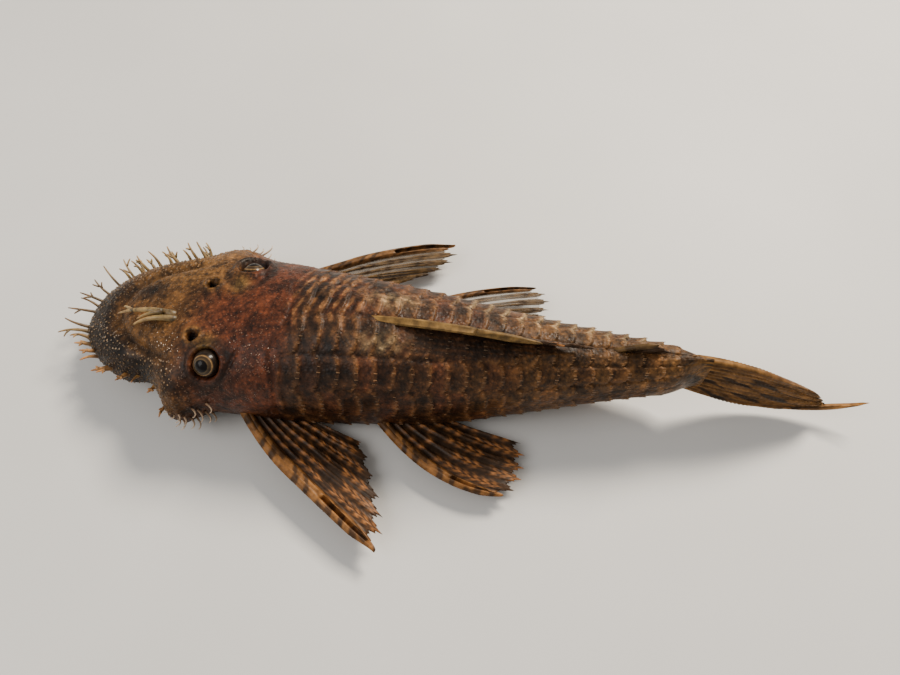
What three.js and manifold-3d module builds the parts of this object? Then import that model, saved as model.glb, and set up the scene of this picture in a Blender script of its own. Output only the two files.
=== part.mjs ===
// A bristlenose pleco, a male Ancistrus, life size and lying on its belly. Millimetres, +Z up.
// The origin is on the floor under the middle of the belly, +X to the tail, +Y to the fish's right.
// Places on the fish are given as s, y, z: s behind the tip of the snout, y right of the bent midline.
import * as THREE from "three";
import { mergeVertices } from "three/addons/utils/BufferGeometryUtils.js";
import Module from "manifold-3d";

const wasm = await Module();
wasm.setup();

// Body
const originS = 42; // the origin's place behind the snout
const headEnd = 38; // where the head's shield meets the first plates
const trunkEnd = 72; // where the trunk is parted from the tail stalk
const standardLength = 104; // snout to the root of the tail fin
const gap = 0.3; // clearance between neighbouring pieces
const snoutReach = 24; // in plan the snout is half an oval, this long
const snoutRound = 2.1; // 2 is an ellipse, more is blunter
const snoutHeight = 4.4; // height of the snout's front rim
const snoutRise = 0.62; // less lifts the snout's profile faster
const mouthClear = 2.9; // the underside of the snout, over the lips
const bellyFlat = 0.5; // how much of the belly's curve is levelled off
// Where each side swells out at the cheek or draws in at the snout
const bulges = {
  left: [{ s: 21, length: 3.2, swell: 3 }, { s: 14.2, length: 3, swell: -1.9 }],
  right: [{ s: 23.6, length: 4.4, swell: 2.5 }],
};

// Half width, heights of back, belly and widest line, and roundness of the back
// (2 is an ellipse, more is squarer)
const stations = [
  { s: 0, half: 13.3, back: 12.8, belly: 0, edge: 4.4, round: 2.4 },
  { s: 24, half: 14.3, back: 16.3, belly: 0, edge: 5.4, round: 2.4 },
  { s: 34, half: 14.3, back: 18.9, belly: 0, edge: 6.2, round: 2.3 },
  { s: 42, half: 13.3, back: 20.2, belly: 0, edge: 6.6, round: 2.15 },
  { s: 52, half: 12.0, back: 20.3, belly: 0, edge: 6.6, round: 2.15 },
  { s: 62, half: 10.6, back: 19.0, belly: 0.2, edge: 6.8, round: 2.15 },
  { s: 75, half: 8.0, back: 17.4, belly: 2.2, edge: 8.2, round: 2.15 },
  { s: 90, half: 5.0, back: 16.2, belly: 4.6, edge: 10.2, round: 2.15 },
  { s: 104, half: 2.5, back: 16.4, belly: 5.8, edge: 11.2, round: 2.15 },
  { s: 134, half: 2.5, back: 16.4, belly: 5.8, edge: 11.2, round: 2.15 },
];
// The midline's swing to the right, and how far the back leans to the left for each millimetre of height
const midline = [
  { s: 0, side: 1.0, lean: 0.13 },
  { s: 14, side: 1.2, lean: 0.2 },
  { s: 28, side: 0.8, lean: 0.25 },
  { s: 42, side: 0, lean: 0.18 },
  { s: 60, side: 0.1, lean: 0.14 },
  { s: 80, side: 0.4, lean: 0.12 },
  { s: 104, side: 1.1, lean: 0.06 },
  { s: 134, side: 2.6, lean: 0 },
];

// Plates
const plateColumns = { trunk: 12, stalk: 12 };
const plateRows = 5; // on one side
const plateTurn = 0.41; // the rows reach this share of the way round, where half a turn is the belly
const plateHeight = 0.45; // how far a plate's rear edge stands over the next plate
const plateGroove = 0.22; // depth of the groove between two rows
const plateScallop = 0.7; // how far a plate's rear corners fall short of its middle
const plateStep = 0.3; // length of the step down to the next plate
const bellySides = 5; // divisions of the bare belly, on one side
const sides = 2 * (3 * plateRows + bellySides);

// Eyes and nostrils
const eye = { radius: 2.2, rim: 0.55, tilt: 0.8 };
const eyePlaces = { left: [26.5, -9.2, 14.9], right: [28.4, 8.4, 14.4] };
const nostril = { s: 22.7, y: 5.2, radius: 0.62, depth: 1.8, rim: 0.42 };

// The sucker mouth under the snout
const mouth = { s: 9.4, radius: 6.7, height: 2.6, slitLength: 7.4, slitWidth: 2.8, slitDepth: 1.3 };
const teeth = { each: 9, reach: 1.9, radius: 0.16, length: 0.75 };

// Soft bristles round the snout's rim, and the forked one on its middle
const rimBristles = { count: 17, spread: 1.36, rise: 0.5, near: 2.7, far: 4.4, radius: 0.42, tip: 0.12 };
const innerBristles = { count: 6, radius: 0.4, length: 3.2 };
const forkBristle = { radius: 0.62, lift: 1.3 };
const bristleSink = 0.9; // how deep every root is set into the head

// Hooked odontodes on each cheek
const odontodes = { count: 8, from: 18.6, to: 24.4, length: 2.7, radius: 0.3, hook: 0.7 };

// A smooth curve through the values of one key
function along(list, key, s) {
  const last = list.length - 1;
  let i = 0;
  while (i < last - 1 && s > list[i + 1].s) i++;
  const [a, b] = [list[i], list[i + 1]];
  const before = list[Math.max(i - 1, 0)];
  const after = list[Math.min(i + 2, last)];
  const span = b.s - a.s;
  const slopeA = ((b[key] - before[key]) / (b.s - before.s)) * span;
  const slopeB = ((after[key] - a[key]) / (after.s - a.s)) * span;
  const t = THREE.MathUtils.clamp((s - a.s) / span, 0, 1);
  const bend = (1 - t) * (1 - t) * t * slopeA - t * t * (1 - t) * slopeB;
  return a[key] + (b[key] - a[key]) * t * t * (3 - 2 * t) + bend;
}

const { lerp, smoothstep } = THREE.MathUtils;
const bump = (x, width) => Math.exp(-(x * x) / (width * width));

// The body's section at s
function section(s) {
  const t = Math.min(s / snoutReach, 1);
  const plan = (1 - (1 - t) ** snoutRound) ** (1 / snoutRound);
  const rise = (1 - (1 - t) ** 2) ** snoutRise;
  const chin = mouthClear * (1 - smoothstep(s, 17.4, 23));
  const under = lerp(snoutHeight, chin, smoothstep(s, 0, 2.5));
  return {
    half: along(stations, "half", s) * plan,
    back: lerp(snoutHeight, along(stations, "back", s), rise),
    belly: Math.max(along(stations, "belly", s), under),
    edge: lerp(snoutHeight, along(stations, "edge", s), rise),
    upper: along(stations, "round", s),
    lower: lerp(4, 2.3, smoothstep(s, 60, 95)),
  };
}

// The half width on one side, with its bulges
function halfOn(side, s) {
  let half = section(s).half;
  for (const b of bulges[side < 0 ? "left" : "right"]) half += b.swell * bump(s - b.s, b.length);
  return half;
}

// A point of the section's outline: turn is 0 on the back, 0.25 on the right side and 0.5 on the belly
function outline(s, turn, lift = 0) {
  const { back, belly, edge, upper, lower } = section(s);
  const across = Math.sin(turn * 2 * Math.PI);
  const half = halfOn(across, s);
  const up = Math.cos(turn * 2 * Math.PI);
  const power = 2 / (up > 0 ? upper : lower);
  const y = Math.sign(across) * Math.abs(across) ** power * (half + lift);
  const crown = edge + (back + lift - edge) * Math.abs(up) ** power;
  const keel = edge - (edge - belly + bellyFlat + lift) * Math.abs(up) ** power;
  return { y, z: up > 0 ? crown : Math.max(keel, belly - lift) };
}

// The place of s, y, z in space
function place(s, y, z) {
  const reach = 0.5;
  const slope = (along(midline, "side", s + reach) - along(midline, "side", s - reach)) / (2 * reach);
  const turn = Math.atan(slope);
  const across = y - along(midline, "lean", s) * (z - section(s).edge);
  const side = along(midline, "side", s);
  return new THREE.Vector3(s - originS - across * Math.sin(turn), side + across * Math.cos(turn), z);
}

// Moves each vertex of a closed geometry and returns it as a solid
function shaped(geometry, move = (point) => point) {
  geometry.deleteAttribute("normal");
  geometry.deleteAttribute("uv");
  const merged = mergeVertices(geometry, 1e-4);
  const points = merged.getAttribute("position");
  const point = new THREE.Vector3();
  for (let i = 0; i < points.count; i++) {
    const moved = move(point.fromBufferAttribute(points, i));
    points.setXYZ(i, moved.x, moved.y, moved.z);
  }
  const triVerts = new Uint32Array(merged.index.array);
  return new wasm.Manifold(new wasm.Mesh({ numProp: 3, vertProperties: points.array, triVerts }));
}

const join = (solids) => solids.reduce((sum, solid) => sum.add(solid));
const largest = (solid) => solid.decompose().sort((a, b) => b.volume() - a.volume())[0];
const both = [-1, 1];

// A length of the body from a closed tube of rings.
// sAt(i, k), turnAt(k) and liftAt(i, k) set ring i, point k
function bodyLength(rings, sAt, turnAt, liftAt) {
  const tube = new THREE.CylinderGeometry(1, 1, 1, sides, rings);
  return shaped(tube, (p) => {
    const i = Math.round((0.5 - p.y) * rings);
    if (Math.hypot(p.x, p.z) < 0.5) {
      const s = sAt(i, 0);
      return place(s, 0, (section(s).back + section(s).belly) / 2);
    }
    const k = Math.round((Math.atan2(p.x, p.z) / (2 * Math.PI)) * sides + sides) % sides;
    const s = sAt(i, k);
    const { y, z } = outline(s, turnAt(k), liftAt(i, k));
    return place(s, y, z);
  });
}

function headLength(extra) {
  const rings = 30;
  const from = 0.03;
  const to = headEnd - gap / 2 + extra;
  return bodyLength(
    rings,
    (i) => from + (to - from) * (i / rings) ** 1.7,
    (k) => k / sides,
    () => extra,
  );
}

// Plates in columns and rows: each rises to its rear edge, and grooves part the rows
function platedLength(from, to, columns, extra) {
  const rings = 2 * columns - 1;
  const pitch = (to - from) / columns;
  const half = sides / 2;
  const mirrored = (k) => (k <= half ? k : sides - k);
  const inGroove = (k) => mirrored(k) <= 3 * plateRows && mirrored(k) % 3 === 0;
  const turnAt = (k) => {
    const m = mirrored(k);
    const row = Math.floor(m / 3);
    const across = [0, 0.2, 0.8][m % 3];
    const plated = ((row + across) / plateRows) * plateTurn;
    const bare = plateTurn + ((m - 3 * plateRows) / bellySides) * (0.5 - plateTurn);
    const turn = m < 3 * plateRows ? plated : bare;
    return k <= half ? turn : 1 - turn;
  };
  const sAt = (i, k) => {
    if (i === 0) return from - extra;
    if (i === rings) return to + extra;
    const column = Math.ceil(i / 2);
    const scallop = inGroove(k) ? plateScallop : 0;
    return from + column * pitch - scallop + (i % 2 === 0 ? plateStep : 0);
  };
  const liftAt = (i, k) => {
    if (mirrored(k) > 3 * plateRows) return extra;
    if (inGroove(k)) return extra - plateGroove + (i % 2) * 0.5 * plateHeight;
    return extra + (i % 2) * plateHeight;
  };
  return bodyLength(rings, sAt, turnAt, liftAt);
}

const bodyParts = (extra) => ({
  head: headLength(extra),
  trunk: platedLength(headEnd + gap / 2, trunkEnd - gap / 2, plateColumns.trunk, extra),
  stalk: platedLength(trunkEnd + gap / 2, standardLength, plateColumns.stalk, extra),
});
const body = bodyParts(0);
const cleared = join(Object.values(bodyParts(gap))); // what a fin stays clear of

// Eyes: balls in round sockets, looking up and out, each in a raised orbital rim
const eyeCentre = (side) => place(...eyePlaces[side < 0 ? "left" : "right"]);

function eyeAxis(side) {
  return new THREE.Vector3(-0.12, side * Math.cos(eye.tilt), Math.sin(eye.tilt)).normalize();
}

function ball(centre, radius, around = 18, down = 12) {
  return shaped(new THREE.SphereGeometry(radius, around, down), (p) => p.add(centre));
}

function ring(centre, axis, radius, thickness, around = 20, sidesOf = 6) {
  const turn = new THREE.Quaternion().setFromUnitVectors(new THREE.Vector3(0, 0, 1), axis);
  const torus = new THREE.TorusGeometry(radius, thickness, sidesOf, around);
  return shaped(torus, (p) => p.applyQuaternion(turn).add(centre));
}

// A tapered spine along a bent path, from its root radius to its tip radius
function spine(root, tip, bend, rootRadius, tipRadius, sidesOf = 5, steps = 3) {
  const axis = new THREE.Vector3().subVectors(tip, root);
  const turn = new THREE.Quaternion();
  turn.setFromUnitVectors(new THREE.Vector3(0, 1, 0), axis.clone().normalize());
  const cone = new THREE.CylinderGeometry(1, 1, 1, sidesOf, steps);
  return shaped(cone, (p) => {
    const t = p.y + 0.5;
    const radius = lerp(rootRadius, tipRadius, t);
    const off = new THREE.Vector3(p.x * radius, 0, p.z * radius).applyQuaternion(turn);
    return root.clone().addScaledVector(axis, t).addScaledVector(bend, 4 * t * (1 - t)).add(off);
  });
}

// Seeded numbers between -1 and 1, so that every build varies its spines alike
let seed = 7;
function vary() {
  seed = (seed * 16807) % 2147483647;
  return (seed / 2147483647) * 2 - 1;
}

// A point on the skin, lift above it
function onSkin(s, turn, lift) {
  const { y, z } = outline(s, turn, 0);
  const above = outline(s, turn, 1);
  return place(s, y + (above.y - y) * lift, z + (above.z - z) * lift);
}

// A soft bristle from its root along a direction, with a side branch where branch says how far up it starts
function bristle(root, direction, length, radius, branch) {
  const reach = direction.clone().setLength(length);
  const across = new THREE.Vector3(-direction.y, direction.x, 0).normalize();
  const sunk = root.clone().addScaledVector(direction, -bristleSink);
  const bend = across.clone().multiplyScalar(0.12 * length * vary());
  bend.z += 0.1 * length;
  const tip = root.clone().add(reach);
  const stem = spine(sunk, tip, bend, radius, rimBristles.tip, 4);
  if (!branch) return [stem];
  const t = (branch * length + bristleSink) / (length + bristleSink);
  const start = sunk.clone().lerp(tip, t - 0.08).addScaledVector(bend, 4 * t * (1 - t));
  const end = start.clone().addScaledVector(reach, (1 - branch) * 0.8);
  end.addScaledVector(across, 0.3 * length * Math.sign(vary()));
  return [stem, spine(start, end, new THREE.Vector3(), radius * 0.7, rimBristles.tip, 4, 1)];
}

// The snout's rim at an angle from straight ahead, positive to the right
function rimPlace(angle) {
  const power = 2 / snoutRound;
  return { s: Math.max(snoutReach * (1 - Math.cos(angle) ** power), 0.1), turn: angle > 0 ? 0.22 : 0.78 };
}

function snoutBristles() {
  const all = [];
  for (let n = 0; n < rimBristles.count; n++) {
    const angle = rimBristles.spread * ((2 * n) / (rimBristles.count - 1) - 1) + 0.04 * vary();
    const { s, turn } = rimPlace(angle);
    const share = n / (rimBristles.count - 1);
    const grown = smoothstep(share, 0.2, 0.5) * (1 - 0.75 * smoothstep(share, 0.6, 0.85));
    const length = lerp(rimBristles.near, rimBristles.far, grown) * (1 + 0.22 * vary());
    const rise = rimBristles.rise * (0.55 + 0.6 * share) + 0.12 * vary();
    const heading = angle * 0.9 + 0.16 * vary();
    const direction = new THREE.Vector3(-Math.cos(heading), Math.sin(heading), rise).normalize();
    all.push(...bristle(onSkin(s, turn, 0), direction, length, rimBristles.radius, n % 2 ? 0.45 : 0));
  }
  for (let n = 0; n < innerBristles.count; n++) {
    const share = n / (innerBristles.count - 1);
    const root = onSkin(4.5 + 13 * share, 0.15 + 0.03 * share, 0);
    const direction = new THREE.Vector3(-0.55, 0.35 + 0.25 * share, 0.75).normalize();
    const length = innerBristles.length * (1 + 0.2 * vary());
    all.push(...bristle(root, direction, length, innerBristles.radius, 0));
  }
  const { radius, lift } = forkBristle;
  const fork = (from, to, width, bow) => {
    const root = onSkin(from[0], from[1], from[2]);
    const tip = onSkin(to[0], to[1], to[2]);
    return spine(root, tip, new THREE.Vector3(0, 0, bow), width, 0.26, 5, 5);
  };
  all.push(fork([18.4, 0.985, -bristleSink], [6.8, 0.03, lift], radius, 1.3));
  all.push(fork([15.8, 0.99, -0.2], [10.2, 0.955, lift], radius * 0.85, 0.9));
  all.push(fork([17.6, 0.955, -bristleSink], [12.8, 0.94, lift * 0.6], radius * 0.9, 1));
  return all;
}

// Cheek odontodes stand out and back from the swelling behind the mouth, and hook forward at their tips
function cheekOdontodes(side) {
  return Array.from({ length: odontodes.count }, (_, n) => {
    const share = n / (odontodes.count - 1);
    const s = lerp(odontodes.from, odontodes.to, share);
    const turn = 0.235 + 0.025 * (n % 3);
    const root = onSkin(s, side > 0 ? turn : 1 - turn, -bristleSink);
    const length = (odontodes.length + bristleSink) * (0.75 + 0.35 * share);
    const direction = new THREE.Vector3(0.15 + 0.6 * share, side, 0.28 - 0.12 * (n % 3)).setLength(length);
    const hook = new THREE.Vector3(odontodes.hook, side * 0.2, 0.15);
    return spine(root, root.clone().add(direction), hook, odontodes.radius, 0.09, 3, 3);
  });
}

function headWithFace() {
  let solid = join([body.head, ...snoutBristles(), ...cheekOdontodes(-1), ...cheekOdontodes(1)]);
  for (const side of both) {
    const rimCentre = eyeCentre(side).addScaledVector(eyeAxis(side), 1.15);
    solid = solid.add(ring(rimCentre, eyeAxis(side), eye.radius + 0.25, eye.rim));
    solid = solid.subtract(ball(eyeCentre(side), eye.radius + gap, 20, 12));
    const { back, edge, upper } = section(nostril.s);
    const half = halfOn(side, nostril.s);
    const z = edge + (back - edge) * (1 - (nostril.y / half) ** upper) ** (1 / upper);
    const mouthOf = place(nostril.s, side * nostril.y, z);
    const axis = new THREE.Vector3(-0.35, side * 0.3, 1).normalize();
    solid = solid.add(ring(mouthOf, axis, nostril.radius + 0.3, nostril.rim, 12, 5));
    const floor = mouthOf.clone().addScaledVector(axis, -nostril.depth);
    const top = mouthOf.clone().addScaledVector(axis, 1);
    solid = solid.subtract(spine(floor, top, new THREE.Vector3(), nostril.radius, nostril.radius, 8, 1));
  }
  return solid;
}

// A fin as one closed sheet over lines that run from root to tip, its rays raised in both faces
function sheet(lines, steps) {
  const columns = lines.length;
  const rows = steps + 1;
  const held = (value, most) => THREE.MathUtils.clamp(value, 0, most);
  const at = (j, i) => lines[held(j, columns - 1)].path(held(i, steps) / steps);
  const points = [];
  for (const face of both) {
    for (let j = 0; j < columns; j++) {
      for (let i = 0; i < rows; i++) {
        const lengthwise = at(j, i + 1).sub(at(j, i - 1));
        const sidewise = at(j + 1, i).sub(at(j - 1, i));
        const normal = lengthwise.cross(sidewise).normalize();
        const thick = lines[j].thick(i / steps);
        points.push(...at(j, i).addScaledVector(normal, (face * thick) / 2).toArray());
      }
    }
  }
  const id = (face, j, i) => (face * columns + j) * rows + i;
  const index = [];
  const quad = (a, b, c, d) => index.push(a, b, c, a, c, d);
  for (let j = 0; j < columns - 1; j++) {
    for (let i = 0; i < steps; i++) {
      quad(id(1, j, i), id(1, j, i + 1), id(1, j + 1, i + 1), id(1, j + 1, i));
      const [a, b, c, d] = [id(0, j, i), id(0, j, i + 1), id(0, j + 1, i + 1), id(0, j + 1, i)];
      index.push(a, c, b, a, d, c);
    }
    quad(id(0, j, 0), id(1, j, 0), id(1, j + 1, 0), id(0, j + 1, 0));
    quad(id(1, j, steps), id(0, j, steps), id(0, j + 1, steps), id(1, j + 1, steps));
  }
  for (let i = 0; i < steps; i++) {
    quad(id(0, 0, i), id(0, 0, i + 1), id(1, 0, i + 1), id(1, 0, i));
    quad(id(0, columns - 1, i + 1), id(0, columns - 1, i), id(1, columns - 1, i), id(1, columns - 1, i + 1));
  }
  const geometry = new THREE.BufferGeometry();
  geometry.setAttribute("position", new THREE.Float32BufferAttribute(points, 3));
  geometry.setIndex(index);
  const solid = shaped(geometry);
  if (solid.volume() > 0) return solid;
  geometry.setIndex(index.reverse());
  return shaped(geometry);
}

// A fin from its rays. Each ray has a root, a tip and a bend as [s, y, z], and the first ray is the spine
function fin(rays, { steps = 9, spineWidth = 1.8, rayRoot = 1.3, rayTip = 0.6, web = 0.5, notch = 0.92 }) {
  const local = (ray, t) => {
    const point = new THREE.Vector3(...ray.root).lerp(new THREE.Vector3(...ray.tip), t);
    return point.addScaledVector(new THREE.Vector3(...ray.bend), 4 * t * (1 - t));
  };
  const lines = [];
  const push = (mix, thick) => lines.push({ path: (t) => place(...mix(t).toArray()), thick });
  rays.forEach((ray, n) => {
    const next = rays[n + 1];
    const wide = n === 0 ? spineWidth : rayRoot;
    const fine = n === 0 ? 0.5 * spineWidth : rayTip;
    if (n === 0) {
      const outward = (t) => local(ray, t).sub(local(next, t)).normalize();
      push((t) => local(ray, t).addScaledVector(outward(t), 0.45 * fine), () => 0.35 * spineWidth);
    }
    push((t) => local(ray, t), (t) => lerp(wide, fine, t));
    if (next) push((t) => local(ray, t * notch).lerp(local(next, t * notch), 0.5), () => web);
  });
  return sheet(lines, steps);
}

// Rays spread evenly between the first and the last, where t runs from 0 to 1
const spread = (count, rayAt) => Array.from({ length: count }, (_, n) => rayAt(n / (count - 1)));

// Dorsal fin folded back along the body: one spine and seven rays
const dorsalRays = spread(8, (t) => ({
  root: [48.5 + 24.5 * t, 0, 19.7 - 3 * t],
  tip: [76.5 + 8.5 * t, -2.2 + 1.4 * t, 20.6 - 2.6 * t],
  bend: [0, 0, 0.9 * (1 - t)],
}));
const adiposeRays = spread(3, (t) => ({
  root: [87.4 + 5.6 * t, 0, 15.2],
  tip: [94.4 + 2.2 * t, 0, 18.8 - 2 * t],
  bend: [0, 0, 0.5 * (1 - t)],
}));
// Anal fin folded back under the stalk: one spine and four rays
const analRays = spread(5, (t) => ({
  root: [76 + 4.2 * t, 0, 4.4 + 0.4 * t],
  tip: [85.5 + 2.6 * t, 0, 1.2 + 1.5 * t],
  bend: [0, 0, 0.5 * (t - 1)],
}));
// Tail fin nearly closed, its rays drooping together and the lowest one drawn out to a point
const tailRays = spread(12, (t) => ({
  root: [102.6, 0, lerp(6.6, 15.6, t)],
  tip: t === 0 ? [132.4, 0, 5.7] : [126.6 - 2.6 * t, 0, lerp(3.3, 6.6, t)],
  bend: [0, 0, lerp(-4.2, 1.9, t ** 0.8)],
}));

// Where the rays of the paired fins end, from the spine inwards
const pectoralTips = {
  left: [
    [55, -32.7], [55.8, -30.4], [55.3, -27.6], [54.3, -24.4], [52.8, -21], [51.4, -17.9], [49.8, -15.2],
  ],
  right: [[60.6, 26.8], [61.4, 25], [60.6, 23.2], [59, 21.6], [56.8, 20.1], [54, 18.6], [50.6, 16.8]],
};
const pelvicTips = {
  left: [[73.4, -21.7], [75.2, -20.8], [76.2, -18.8], [76.5, -16.6], [76.4, -14.3], [75.6, -12.2]],
  right: [[76.6, 19.2], [78.6, 18.2], [79.5, 16.7], [79.4, 15.2], [78.2, 13.8], [76.2, 12.5]],
};
const pectoral = { s: 30.6, run: 7, y: 12.6, narrow: 1.2, z: 4.8, drop: 1.9, tipZ: 3.5, tipDrop: 1.5 };
const pelvic = { s: 50.4, run: 4.6, y: 8.8, narrow: 1.6, z: 3.4, drop: 1.2, tipZ: 2.9, tipDrop: 1.2 };

function pairedRays(tips, base, bow) {
  const side = Math.sign(tips[0][1]);
  return tips.map(([tipS, tipY], n) => {
    const t = n / (tips.length - 1);
    return {
      root: [base.s + base.run * t, side * (base.y - base.narrow * t), base.z - base.drop * t],
      tip: [tipS, tipY, base.tipZ - base.tipDrop * t],
      bend: [0, side * bow * (1 - t), 0],
    };
  });
}

const pectoralBuild = { spineWidth: 2, rayRoot: 1.2, rayTip: 0.65 };
const pelvicBuild = { spineWidth: 1.6, rayRoot: 1.2, rayTip: 0.65 };
const fins = {
  dorsal_fin: fin(dorsalRays, { spineWidth: 1.6, rayRoot: 1, rayTip: 0.7, steps: 10 }),
  adipose_fin: fin(adiposeRays, { spineWidth: 1.4, rayRoot: 0.8, rayTip: 0.5, steps: 5 }),
  caudal_fin: fin(tailRays, { spineWidth: 2.2, rayRoot: 2.2, rayTip: 0.7, web: 0.6, notch: 0.97, steps: 14 }),
  anal_fin: fin(analRays, { spineWidth: 1.2, rayRoot: 0.9, rayTip: 0.6, steps: 6 }),
  pectoral_fin_left: fin(pairedRays(pectoralTips.left, pectoral, 0.7), pectoralBuild),
  pectoral_fin_right: fin(pairedRays(pectoralTips.right, pectoral, 1.8), pectoralBuild),
  pelvic_fin_left: fin(pairedRays(pelvicTips.left, pelvic, 3.2), pelvicBuild),
  pelvic_fin_right: fin(pairedRays(pelvicTips.right, pelvic, 1.8), pelvicBuild),
};

// The sucker mouth: a disc of lip round a slit, with a row of fine teeth in each jaw
function mouthDisc() {
  const { radius, height, slitLength, slitWidth, slitDepth } = mouth;
  const lip = { inner: 0.3, outer: 0.55, sole: 0.86 };
  const profile = [
    [0, slitDepth],
    [lip.inner, slitDepth],
    [0.42, 0.35],
    [lip.outer, 0],
    [lip.sole, 0],
    [0.98, 0.5],
    [1, 1.4],
    [0.93, height],
    [0, height],
  ].map(([r, z]) => new THREE.Vector2(r * radius, z));
  const centre = place(mouth.s, 0, 0);
  const disc = shaped(new THREE.LatheGeometry(profile, 32), (p) => {
    const inside = 1 - smoothstep(Math.hypot(p.x, p.z), lip.inner * radius, lip.outer * radius);
    const lengthwise = lerp(1, slitWidth / (2 * lip.outer * radius), inside);
    const sidewise = lerp(1, slitLength / (2 * lip.outer * radius), inside);
    return new THREE.Vector3(centre.x + p.z * lengthwise, centre.y + p.x * sidewise, p.y);
  });
  const rows = [];
  for (const jaw of both) {
    for (let n = 0; n < teeth.each; n++) {
      const y = teeth.reach * ((2 * n) / (teeth.each - 1) - 1);
      const root = new THREE.Vector3(centre.x + jaw * (0.6 - 0.05 * y * y), centre.y + y, slitDepth + 0.3);
      const tip = root.clone().add(new THREE.Vector3(-jaw * 0.2, 0, -teeth.length - 0.3));
      rows.push(spine(root, tip, new THREE.Vector3(), teeth.radius, 0.06, 4, 1));
    }
  }
  return join([disc, ...rows]);
}

function meshOf(name, solid, color, roughness) {
  const { vertProperties, triVerts } = largest(solid).getMesh();
  const geometry = new THREE.BufferGeometry();
  geometry.setAttribute("position", new THREE.BufferAttribute(vertProperties, 3));
  geometry.setIndex(new THREE.BufferAttribute(triVerts, 1));
  geometry.computeVertexNormals();
  const mesh = new THREE.Mesh(geometry, new THREE.MeshStandardMaterial({ color, roughness, metalness: 0 }));
  mesh.name = name;
  return mesh;
}

const colours = { skin: 0x5c3c22, lips: 0x8a6a4c, eye: 0x1a1410, fin: 0x6b4a2a };
const fish = new THREE.Group();
fish.add(meshOf("head", headWithFace(), colours.skin, 0.55));
fish.add(meshOf("trunk", body.trunk, colours.skin, 0.55));
fish.add(meshOf("tail_stalk", body.stalk, colours.skin, 0.55));
fish.add(meshOf("mouth_disc", mouthDisc(), colours.lips, 0.5));
fish.add(meshOf("eye_left", ball(eyeCentre(-1), eye.radius), colours.eye, 0.15));
fish.add(meshOf("eye_right", ball(eyeCentre(1), eye.radius), colours.eye, 0.15));
for (const [name, solid] of Object.entries(fins)) {
  fish.add(meshOf(name, solid.subtract(cleared), colours.fin, 0.5));
}

export default fish;
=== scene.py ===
# The finish of a bristlenose pleco, a male Ancistrus, lying on its belly.
# Sizes are in millimetres and become metres when a mesh is made. Only the studio is in metres.
# s is the distance behind the snout, y is to the fish's right, and turn goes round the body
# from the back (0) to the belly (0.5).
import bpy
import bmesh
import math
import numpy as np
from mathutils import Matrix, Vector


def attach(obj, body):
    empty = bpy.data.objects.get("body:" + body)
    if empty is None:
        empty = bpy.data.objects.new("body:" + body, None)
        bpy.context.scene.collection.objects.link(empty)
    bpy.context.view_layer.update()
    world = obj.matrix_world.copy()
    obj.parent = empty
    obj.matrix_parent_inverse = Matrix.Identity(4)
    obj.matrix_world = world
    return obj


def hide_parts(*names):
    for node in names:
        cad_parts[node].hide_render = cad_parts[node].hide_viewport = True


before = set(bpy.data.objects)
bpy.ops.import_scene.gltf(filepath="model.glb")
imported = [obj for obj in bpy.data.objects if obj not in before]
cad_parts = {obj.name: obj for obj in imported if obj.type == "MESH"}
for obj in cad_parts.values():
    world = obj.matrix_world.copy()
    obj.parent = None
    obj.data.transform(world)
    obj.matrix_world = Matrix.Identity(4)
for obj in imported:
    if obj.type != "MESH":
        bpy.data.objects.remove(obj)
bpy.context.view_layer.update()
mm = 0.001
rng = np.random.default_rng(12)  # the same draws each time

bodyForm = {
    "originS": 42.0,
    "length": 104.0,
    "snoutReach": 24.0,
    "snoutRound": 2.1,
    "snoutHeight": 4.4,
    "snoutRise": 0.62,
    "mouthClear": 2.9,
    "bellyFlat": 0.5,
    # s, length and swell where each side swells out at the cheek or draws in at the snout
    "leftBulges": [(21, 3.2, 3.0), (14.2, 3.0, -1.9)],
    "rightBulges": [(23.6, 4.4, 2.5)],
    # s, half width, back, belly, widest line, roundness
    "stations": [
        (0, 13.3, 12.8, 0, 4.4, 2.4),
        (24, 14.3, 16.3, 0, 5.4, 2.4),
        (34, 14.3, 18.9, 0, 6.2, 2.3),
        (42, 13.3, 20.2, 0, 6.6, 2.15),
        (52, 12.0, 20.3, 0, 6.6, 2.15),
        (62, 10.6, 19.0, 0.2, 6.8, 2.15),
        (75, 8.0, 17.4, 2.2, 8.2, 2.15),
        (90, 5.0, 16.2, 4.6, 10.2, 2.15),
        (104, 2.5, 16.4, 5.8, 11.2, 2.15),
        (134, 2.5, 16.4, 5.8, 11.2, 2.15),
    ],
    # s, swing to the right, lean to the left for each millimetre of height
    "midline": [
        (0, 1.0, 0.13),
        (14, 1.2, 0.2),
        (28, 0.8, 0.25),
        (42, 0, 0.18),
        (60, 0.1, 0.14),
        (80, 0.4, 0.12),
        (104, 1.1, 0.06),
        (134, 2.6, 0),
    ],
}


def along(table, column, s):  # a smooth curve through one column of a table
    rows = np.array(table, float)
    x, v = rows[:, 0], rows[:, column]
    s = np.asarray(s, float)
    i = np.clip(np.searchsorted(x, s, side="left") - 1, 0, len(x) - 2)
    before = np.maximum(i - 1, 0)
    after = np.minimum(i + 2, len(x) - 1)
    span = x[i + 1] - x[i]
    slopeA = (v[i + 1] - v[before]) / (x[i + 1] - x[before]) * span
    slopeB = (v[after] - v[i]) / (x[after] - x[i]) * span
    t = np.clip((s - x[i]) / span, 0, 1)
    bend = (1 - t) ** 2 * t * slopeA - t ** 2 * (1 - t) * slopeB
    return v[i] + (v[i + 1] - v[i]) * t * t * (3 - 2 * t) + bend


def ease(x, low, high):
    t = np.clip((x - low) / (high - low), 0, 1)
    return t * t * (3 - 2 * t)


def bump(x, width):
    return np.exp(-(x / width) ** 2)


def mix(a, b, t):
    return a + (b - a) * t


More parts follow.
